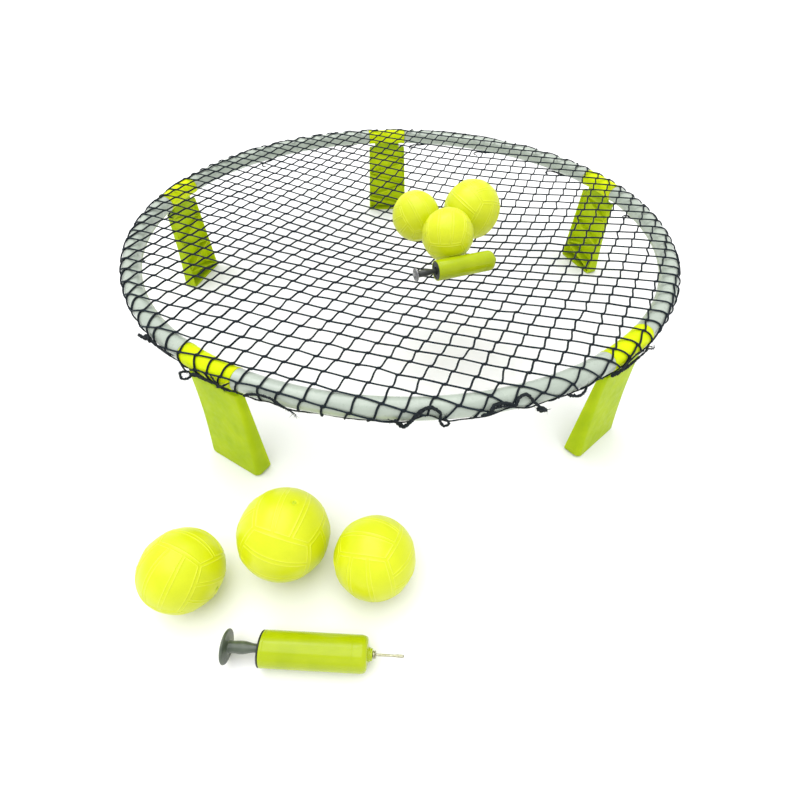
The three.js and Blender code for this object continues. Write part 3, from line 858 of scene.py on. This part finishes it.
# Tied ends by number, each strand with its thickness as a share of the tie's radius at the start and at
# the end: the route's points are (along the rim, degrees round the tube, distance from its centre)
TIE_SHAPES = {
    9: [
        ([(-10, 100, 20), (0, 70, 20), (10, 75, 19), (25, 80, 18), (40, 75, 18), (55, 70, 17)], 1.6, 0.5),
        ([(-15, 105, 20), (-20, 95, 23), (-15, 85, 23), (-5, 90, 21), (0, 80, 20)], 1.3, 1.0),
        ([(0, 65, 19), (5, 60, 21), (10, 70, 22), (10, 80, 21), (0, 85, 20)], 0.7, 0.6),
    ],
    10: [
        ([(-20, 100, 20), (-10, 90, 19), (5, 95, 18), (20, 90, 18), (35, 100, 18), (45, 90, 18)], 1.4, 0.6),
        ([(-25, 100, 19), (-30, 100, 20), (-35, 100, 25), (-30, 100, 29), (-25, 100, 30), (-20, 100, 26),
          (-20, 100, 21), (-25, 100, 19)], 0.95, 0.95),
        ([(-40, 80, 18), (-35, 90, 19), (-30, 100, 20)], 0.5, 0.7),
        ([(10, 60, 17), (20, 80, 18), (30, 100, 19)], 0.5, 0.8),
        ([(40, 60, 17), (30, 85, 19), (20, 105, 19)], 0.5, 0.8),
    ],
    11: [
        ([(-25, 95, 18), (-15, 75, 18), (0, 65, 18), (15, 70, 18), (25, 85, 18), (40, 110, 20)], 1.1, 0.5),
        ([(10, 60, 19), (20, 75, 20), (30, 95, 19)], 0.8, 0.6),
        ([(30, 95, 19), (35, 95, 20), (40, 100, 22)], 0.5, 0.2),
    ],
    12: [
        ([(-30, 85, 18), (-20, 110, 21), (-10, 80, 19), (0, 50, 18), (10, 40, 18), (20, 60, 18),
          (20, 90, 19), (25, 120, 21), (30, 100, 21), (25, 80, 19)], 1.35, 0.9),
        ([(-10, 70, 19), (0, 45, 19), (10, 35, 18), (15, 45, 19)], 0.7, 0.7),
        ([(-20, 105, 21), (-25, 90, 20), (-35, 85, 18)], 0.8, 0.4),
    ],
    13: [
        ([(-30, 90, 18), (-20, 80, 19), (-15, 55, 18), (0, 55, 18), (10, 70, 18), (15, 45, 18),
          (25, 40, 18), (35, 80, 18), (45, 110, 21)], 1.25, 1.0),
        ([(-25, 90, 20), (-15, 65, 19), (0, 65, 19), (10, 75, 19)], 0.8, 0.7),
        ([(40, 100, 20), (45, 105, 23), (50, 115, 24), (45, 120, 22), (40, 110, 20)], 1.6, 1.5),
        ([(45, 115, 22), (50, 120, 23), (55, 125, 24)], 0.7, 0.25),
    ],
    14: [
        ([(-10, 85, 18), (-5, 95, 20), (5, 100, 23), (15, 105, 21), (20, 85, 18)], 1.1, 0.8),
        ([(0, 95, 19), (5, 110, 22), (15, 110, 21)], 0.7, 0.5),
    ],
    15: [
        ([(-50, 115, 18), (-40, 100, 19), (-25, 95, 20), (0, 95, 19), (15, 95, 19), (20, 85, 19),
          (25, 90, 21), (35, 100, 23)], 1.4, 0.5),
        ([(-45, 105, 21), (-30, 80, 19), (-5, 70, 18), (10, 80, 18)], 0.8, 0.6),
        ([(15, 90, 20), (20, 75, 19), (25, 80, 20)], 1.0, 0.35),
    ],
}


def plain_tie(length):
    """A bar of doubled cord along the edge with a hooked end, a little different each time."""
    half = length / 2
    lift = rng.uniform(-7, 7, 5)
    bar = [(-half, 150, 17), (-half / 2, 160 + lift[0], 18), (0, 168 + lift[1], 18.5)]
    bar += [(half / 2, 172 + lift[2], 18), (half - 2, 182, 20), (half, 194, 23), (half - 6, 190, 25)]
    loop = [(-half / 3, 150, 18), (-half / 6, 160 + lift[3], 19.5)]
    loop += [(half / 6, 164, 19), (half / 3, 176 + lift[4], 18.5)]
    return [(bar, 1.3, 0.6), (loop, 0.9, 0.7)]


def add_fray(shells, tip, outward):
    """Loose fibres at a cut end."""
    for _ in range(5):
        way = unit(outward + rng.normal(0, 0.55, 3))
        bend = rng.normal(0, 1.1, 3)
        points = [tip, tip + 2.5 * way, tip + rng.uniform(4, 7) * way + bend]
        path = smooth_path(points, 1.2)
        shells.rings(tube_rings(path, np.linspace(0.35, 0.08, len(path)), 4, (0.1, 0.2, 1)))


def add_fuzz(shells, path, thick):
    """Short fibres that stand off a worn cord."""
    for n in range(3, len(path) - 3, 3):
        way = unit(rng.normal(0, 1, 3))
        start = path[n] + 0.6 * thick[n] * way
        end = start + rng.uniform(1.0, 2.6) * unit(way + rng.normal(0, 0.5, 3))
        fibre = np.array([start, (start + end) / 2 + rng.normal(0, 0.25, 3), end])
        shells.rings(tube_rings(fibre, np.array([0.3, 0.22, 0.08]), 4, (0.1, 0.2, 1)))


def make_ties():
    for number in range(1, 16):
        low, high = node_box(f"net_tie_{number}")
        middle = (low + high) / 2 - RIM_MIDDLE
        angle = math.degrees(math.atan2(middle[1], middle[0]))
        length = math.hypot(*(high - low)[:2])
        shells = Shells()
        for points, first, last in TIE_SHAPES.get(number) or plain_tie(length):
            along, around, size = np.array(points, float).T
            path = smooth_path(lacing_point(angle, along, around, size), 0.9)
            wear = 1 + 0.09 * np.convolve(rng.normal(size=len(path)), np.ones(4) / 2, "same")
            thick = TIE_RADIUS * np.linspace(first, last, len(path)) * wear
            ends = np.clip(np.minimum(np.arange(len(path)), np.arange(len(path))[::-1]) / 2.5, 0.25, 1)
            shells.rings(rope_rings(path, thick * np.sqrt(ends), (0.13, 0.21, 1), pitch=6))
            add_fray(shells, path[-1], unit(path[-1] - path[-4]))
            add_fuzz(shells, path, thick)
        tie = shells.object(f"cord_tie_{number}", CORD_FIBRE, 60)
        finish_piece(tie, "rim", "lacing_cord", f"net_tie_{number}")


# Balls

# Shares of a panel's width where the mesh has its lines: close together at the raised lines that run
# beside each seam, and at the valve
PANEL_LINES = (0, 0.05, 0.072, 0.09, 0.108, 0.13, 0.2, 0.28, 0.36, 0.42, 0.46, 0.5)
RIDGE_PLACE = 0.09
RIDGE_SPREAD = 0.017
RIDGE_HEIGHT = 0.5
VALVE_PIT = 3.1
VALVE_DEPTH = 1.0


def cube_lines():
    """Lines across one face of the cube that the ball's panels come from, three panels wide."""
    half = list(PANEL_LINES)
    panel = half + [1 - s for s in reversed(half[:-1])]
    lines = [k + s for k in range(3) for s in panel[:-1]] + [3]
    return np.array(lines) * 2 / 3 - 1


def ball_directions():
    """Directions over the whole ball, with each one's distance to the nearest seam in panel widths."""
    lines = cube_lines()
    u, v = np.meshgrid(lines, lines, indexing="ij")
    n = len(lines)
    directions, seams, faces = [], [], []
    for axis in range(3):
        for sign in (-1, 1):
            tan_u, tan_v = np.tan(u * math.pi / 4), np.tan(v * math.pi / 4)
            face = np.zeros((n, n, 3))
            face[..., axis] = sign
            face[..., (axis + 1) % 3] = tan_u
            face[..., (axis + 2) % 3] = tan_v
            edge = np.minimum(1 - abs(u), 1 - abs(v))
            strip = abs(abs(v) - 1 / 3)
            base = len(directions) * n * n
            directions.append(unit(face).reshape(-1, 3))
            seams.append(np.minimum(edge, strip).ravel() * 1.5)
            for i in range(n - 1):
                for j in range(n - 1):
                    a = base + i * n + j
                    quad = (a, a + n, a + n + 1, a + 1)
                    faces.append(quad if sign > 0 else quad[::-1])
    directions, seams = np.vstack(directions), np.concatenate(seams)
    _, first, where = np.unique(np.round(directions, 6), axis=0, return_index=True, return_inverse=True)
    where = where.ravel()
    return directions[first], seams[first], [tuple(where[k] for k in face) for face in faces]


def fitted_ball(node):
    """Middle and radius of the sphere through the outer corners of a CAD ball."""
    points = cad_points(node)
    middle = (points.min(axis=0) + points.max(axis=0)) / 2
    away = np.linalg.norm(points - middle, axis=1)
    outer = points[away > away.max() - 2]
    terms = np.hstack([2 * outer, np.ones((len(outer), 1))])
    solved = np.linalg.lstsq(terms, (outer ** 2).sum(axis=1), rcond=None)[0]
    return solved[:3], math.sqrt(solved[3] + solved[:3] @ solved[:3])


# How far each ball's panels are turned about its valve, in degrees
BALL_TWISTS = {1: 20, 2: 38, 3: 62, 4: 12, 5: 80, 6: 55}


def ball_frame(valve, twist):
    """Rotation that takes +Z to the valve, after a twist about it."""
    swing = Vector((0, 0, 1)).rotation_difference(Vector(valve)).to_matrix()
    return np.array(swing @ Matrix.Rotation(twist * DEG, 3, "Z"))


def make_balls():
    directions, seams, faces = ball_directions()
    for number, twist in BALL_TWISTS.items():
        middle, radius = fitted_ball(f"ball_{number}")
        low, high = node_box(f"ball_valve_{number}")
        valve = unit((low + high) / 2 - middle)
        turn = ball_frame(valve, twist)
        ridge = np.exp(-((seams - RIDGE_PLACE) / RIDGE_SPREAD) ** 2)
        from_valve = np.arccos(np.clip(directions[:, 2], -1, 1)) * radius
        pit = VALVE_DEPTH / (1 + np.exp(np.minimum((from_valve - VALVE_PIT) * 5, 60)))
        size = radius + RIDGE_HEIGHT * (ridge - 1) - pit
        shells = Shells()
        shells.add(middle + (directions * size[:, None]) @ turn.T, faces)
        ball = shells.object(f"play_ball_{number}", BALL_RUBBER, 80)
        ball.data.materials.append(RIDGE_RUBBER)
        on_ridge = abs(seams[np.array(faces)].mean(axis=1) - RIDGE_PLACE) < RIDGE_SPREAD
        ball.data.polygons.foreach_set("material_index", on_ridge.astype(np.int32))
        finish_piece(ball, f"ball_{number}", "ball_rubber", f"ball_{number}")
        make_valve(number, middle, radius, turn)


def shifted(start, *points):
    """An outline's points, (along, radius), moved along by the start."""
    return [(start + along, radius) for along, radius in points]


def make_valve(number, middle, radius, turn):
    """A round plug at the bottom of the pit, with a raised ring and the needle's hole in its middle."""
    floor = radius - VALVE_DEPTH - 0.9
    outline = shifted(
        floor, (-2, 0), (-2, 2.5), (0.75, 2.5), (1.25, 2.1), (1.25, 1.5),
        (0.8, 1.2), (0.8, 0.65), (-0.6, 0.45), (-0.6, 0),
    )
    rings = lathe(rounded(outline, 0.25, 2), 24)
    axes = turn @ np.array([[0, 1, 0], [0, 0, 1], [1, 0, 0]])
    valve = ring_shells((rings @ axes.T + middle)[1:-1]).object(f"valve_plug_{number}", VALVE_RUBBER)
    finish_piece(valve, f"ball_{number}", "valve_rubber", f"ball_valve_{number}")


# Pumps

PUMP_WALL = 1.6
CAP_FLANGE = 2.2
CAP_PLUG = 6
NOZZLE_LENGTH = 5
NOZZLE_BORE = 2.5
PISTON_LENGTH = 8
HUB_LENGTH = 3.7
HUB_RADIUS = 4.1
NEEDLE_RADIUS = 1.25
NEEDLE_BORE = 0.6
NEEDLE_LENGTH = 30
THREAD_RADIUS = 2.1
NET_PUMP = dict(length=90, radius=14.6, rod=25, knob=9.6, knob_length=6)
GROUND_PUMP = dict(length=113, radius=18.4, rod=34, knob=17.6, knob_length=4.4)
PUMPS = {
    "net_pump": dict(NET_PUMP, loose=True, needle=False),
    "ground_pump": dict(GROUND_PUMP, loose=False, needle=True),
}


def pump_axes(name):
    """The pump's rear middle and its own axes, from the stroke's axis and the barrel's rear ring."""
    stroke = next(j for j in frame["joints"] if j["name"] == f"{name}_stroke")
    ahead = -unit(stroke["axis"])
    side = unit(np.cross((0, 0, 1), ahead))
    axes = np.stack([ahead, side, np.cross(ahead, side)], axis=1)
    points = cad_points(f"{name}_barrel") @ axes
    rear = points[points[:, 0] < points[:, 0].min() + 0.5]
    return (rear.min(axis=0) + rear.max(axis=0)) / 2 @ axes.T, axes


def barrel_outline(pump):
    length, radius = pump["length"], pump["radius"]
    bore = radius - PUMP_WALL
    boss = 0.38 * radius
    nose = [
        (length - 7 + 7 * math.sin(a * DEG), radius - 4.5 * (1 - math.cos(a * DEG)))
        for a in range(0, 91, 15)
    ]
    outer = [(0, radius - 0.5), (0.5, radius), (3.2, radius), (3.6, radius - 0.25), (4.2, radius)]
    outer += [(length - 16.4, radius), (length - 16, radius - 0.22), (length - 15.6, radius)] + nose
    tip = shifted(
        length, (0, boss + 1.6), (0.4, boss + 0.5), (1, boss), (2.6, boss),
        (2.9, boss - 0.9), (4.6, boss - 0.9), (NOZZLE_LENGTH, boss - 1.4),
        (NOZZLE_LENGTH, NOZZLE_BORE), (-4, NOZZLE_BORE), (-4, bore - 3), (-7, bore),
    )
    return outer + tip + [(0.6, bore), (0, bore + 0.5)]


def inset_cap_outline(pump):
    """An end cap that sits just inside the barrel's rear, so that the barrel's wall shows round it."""
    plug = pump["radius"] - PUMP_WALL - 0.3
    hole = 0.36 * pump["radius"]
    return [
        (0.9, hole), (0.2, hole + 0.3), (0, hole + 0.8), (0, hole + 1.8), (0.7, hole + 2.3),
        (0.7, plug - 2.2), (0.1, plug - 1.7), (0.1, plug - 0.4), (0.5, plug),
        (CAP_PLUG, plug), (CAP_PLUG, hole),
    ]


def cap_outline(pump):
    radius = pump["radius"]
    plug = radius - PUMP_WALL - 0.4
    hole = 0.36 * radius
    flange = shifted(
        -CAP_FLANGE, (0.7, hole), (0.2, hole + 0.3), (0, hole + 0.9), (0, hole + 2.2), (0.5, hole + 2.7),
        (0.5, radius - 3.2), (0, radius - 2.7), (0, radius - 1.0), (0.5, radius - 0.4),
    )
    plug_end = [(-0.3, plug), (CAP_PLUG, plug), (CAP_PLUG, hole)]
    return flange + [(-0.8, radius - 0.1), (-0.3, radius - 0.5)] + plug_end


def rod_outline(pump):
    start = -CAP_FLANGE - pump["rod"]
    thick, thin = 0.33 * pump["radius"], 0.235 * pump["radius"]
    grip = pump["rod"] * 0.6
    if pump["loose"]:
        head = [(start, 0), (start, thick)]
    else:
        face, edge = start - pump["knob_length"], pump["knob"]
        head = shifted(
            face, (0.5, 0), (0.4, 0.5 * edge), (0, 0.75 * edge), (0, edge - 1.2), (0.7, edge - 0.3),
            (1.6, edge), (2.5, edge - 0.3), (3.2, edge - 1.2), (3.3, 0.7 * edge),
        )
        head += shifted(start, (-0.4, 0.45 * edge), (0, thick + 0.5), (0.6, thick))
    waist = shifted(
        start, (3, thick - 0.1), (0.35 * grip, thick), (0.62 * grip, thick + 0.45),
        (0.82 * grip, thick + 0.3),
    )
    waist += shifted(start + grip, (0, thick - 0.4), (3, thin + 0.7), (6, thin + 0.1), (9, thin))
    piston_rear = pump["length"] - 8 - pump["rod"] - PISTON_LENGTH
    inner = [(x, thin) for x in np.linspace(0, piston_rear, 8)]
    return head + waist + inner + [(piston_rear + 3.5, thin), (piston_rear + 4, 0)]


def knob_outline(pump):
    outer = -CAP_FLANGE - pump["rod"] - 0.3
    face, edge = outer - pump["knob_length"], pump["knob"]
    front = shifted(
        face, (0, 0), (0.1, 0.45 * edge), (0.5, 0.72 * edge), (1.3, 0.9 * edge),
        (2.2, edge), (3.4, edge), (4.1, edge - 0.8), (4.6, 0.72 * edge),
    )
    return front + shifted(outer, (-0.3, 0.6 * edge), (0, 0.5 * edge), (0, 0))


def hub_outline(pump):
    face = pump["length"] + NOZZLE_LENGTH + 0.3
    sleeve, lip = NEEDLE_RADIUS + 0.4, HUB_RADIUS - 0.7
    return shifted(
        face, (-NOZZLE_LENGTH, NEEDLE_BORE), (-NOZZLE_LENGTH, THREAD_RADIUS), (0, THREAD_RADIUS),
        (0, HUB_RADIUS - 0.6), (0.4, HUB_RADIUS), (1.3, HUB_RADIUS), (1.7, lip),
        (2.0, lip), (2.4, HUB_RADIUS), (3.0, HUB_RADIUS - 0.2), (HUB_LENGTH, 0.6 * HUB_RADIUS),
        (HUB_LENGTH, sleeve), (0.2 * HUB_LENGTH, sleeve), (0.2 * HUB_LENGTH, NEEDLE_BORE),
    )


def needle_outline(pump):
    start = pump["length"] + NOZZLE_LENGTH + 0.2 * HUB_LENGTH + 0.6
    tip = pump["length"] + NOZZLE_LENGTH + HUB_LENGTH + NEEDLE_LENGTH
    end = shifted(
        tip, (-9, NEEDLE_RADIUS), (-8, NEEDLE_RADIUS + 0.3), (-1.4, NEEDLE_RADIUS + 0.3),
        (-0.4, NEEDLE_RADIUS - 0.1), (0, NEEDLE_RADIUS - 0.45), (0, NEEDLE_BORE),
    )
    return [(start, NEEDLE_BORE), (start, NEEDLE_RADIUS)] + end


def turned_piece(name, outline, place, axes, material, steps=64, loop=True, soft=0.5):
    if loop:
        outline = outline + [outline[0], outline[1]]
    outline = rounded(outline, soft)
    if loop:
        outline = outline[1:-1]
    rings = lathe(outline, steps)
    if not loop:
        rings = rings[1:-1]
    return ring_shells(rings @ axes.T + place, closed=loop).object(name, material)


INNER_PARTS = {"piston": PUMP_CAP, "piston_seal": SEAL_RUBBER, "check_flap": SEAL_RUBBER}


def make_pumps():
    for name, pump in PUMPS.items():
        place, axes = pump_axes(name)
        rod_material = ROD_BLACK if pump["loose"] else ROD_GREY

        def piece(part, outline, material, slot, body, **how):
            made = turned_piece(f"{name}_{part}_shape", outline, place, axes, material, **how)
            finish_piece(made, body, slot, f"{name}_{part}")

        plunger = f"{name}_plunger"
        piece("barrel", barrel_outline(pump), PUMP_SHELL, "pump_shell", name, steps=96)
        cap = inset_cap_outline if pump["loose"] else cap_outline
        piece("end_cap", cap(pump), PUMP_CAP, "pump_cap", name, steps=96, soft=0.3)
        piece("plunger", rod_outline(pump), rod_material, "rod_plastic", plunger, loop=False, soft=1.0)
        if pump["loose"]:
            piece("knob", knob_outline(pump), KNOB_SILVER, "knob_plastic", plunger, loop=False)
        if pump["needle"]:
            piece("needle_hub", hub_outline(pump), NEEDLE_METAL, "needle_metal", name, steps=48, soft=0.2)
            piece("needle", needle_outline(pump), NEEDLE_METAL, "needle_metal", name, steps=24, soft=0.4)
        for part, material in INNER_PARTS.items():
            node = frame["nodes"][f"{name}_{part}"]
            node.data.materials.clear()
            node.data.materials.append(material)


# Floor, light and camera

FLOOR_HALF = 30  # metres
FLOOR_DROP = 0.0005  # metres below the feet
SKY_STRENGTH = 0.9
SUN_STRENGTH = 1.7
SUN_SPREAD = 60
SUN_LEAN = 7  # degrees from straight down


def make_floor():
    finish = Finish("floor", 0.85)
    finish.colour(finish.ramp(finish.noise(6, 2), (0.3, (0.9, 0.9, 0.9, 1)), (0.7, (0.91, 0.91, 0.91, 1))))
    corners = [(FLOOR_HALF * x, FLOOR_HALF * y, 0) for x, y in ((-1, -1), (1, -1), (1, 1), (-1, 1))]
    mesh = bpy.data.meshes.new("floor")
    mesh.from_pydata(corners, [], [(0, 1, 2, 3)])
    mesh.materials.append(finish.material)
    floor = placed("floor", mesh)
    floor.location.z = -FLOOR_DROP


def make_lights():
    world = bpy.data.worlds.new("studio")
    world.use_nodes = True
    sky = world.node_tree.nodes["Background"]
    sky.inputs["Color"].default_value = WHITE
    sky.inputs["Strength"].default_value = SKY_STRENGTH
    scene.world = world
    sun = bpy.data.lights.new("soft_sun", "SUN")
    sun.energy = SUN_STRENGTH
    sun.angle = SUN_SPREAD * DEG
    placed("soft_sun", sun).rotation_euler = (0, -SUN_LEAN * DEG, 0)
    add_panel("top_panel", (-0.4, 0.9, 2.3), (0, -0.3, 0.1), (2.2, 0.7), 12)
    add_panel("front_panel", (0.1, -2.6, 1.3), (0, 0.1, 0.1), (2.6, 1.2), 3)


def add_panel(name, place, target, size, power):
    panel = bpy.data.lights.new(name, "AREA")
    panel.shape = "RECTANGLE"
    panel.size, panel.size_y = size
    panel.energy = power
    light = placed(name, panel)
    light.location = place
    aim = Vector(target) - light.location
    light.rotation_euler = aim.to_track_quat("-Z", "Y").to_euler()


CAMERA_PLACE = Vector((-0.0331, -0.6742, 0.554))  # metres
CAMERA_DOWN = 47.53
CAMERA_RIGHT = 2.72
CAMERA_ROLL = 0.97
CAMERA_LENS = 20.23
SENSOR = 36


def make_camera():
    down, right = CAMERA_DOWN * DEG, CAMERA_RIGHT * DEG
    forward = Vector((math.sin(right) * math.cos(down), math.cos(right) * math.cos(down), -math.sin(down)))
    level = forward.cross(Vector((0, 0, 1))).normalized()
    upright = level.cross(forward)
    roll = CAMERA_ROLL * DEG
    side = level * math.cos(roll) + upright * math.sin(roll)
    top = side.cross(forward)
    data = bpy.data.cameras.new("camera")
    data.lens = CAMERA_LENS
    data.sensor_width = SENSOR
    data.clip_start = 0.02
    camera = placed("camera", data)
    axes = Matrix((side, top, -forward)).transposed().to_4x4()
    camera.matrix_world = Matrix.Translation(CAMERA_PLACE) @ axes
    scene.camera = camera


make_camera()
make_tubes()
make_legs()
make_net()
make_edge_cord()
make_ties()
make_balls()
make_pumps()
make_floor()
make_lights()
scene.view_settings.view_transform = "Standard"
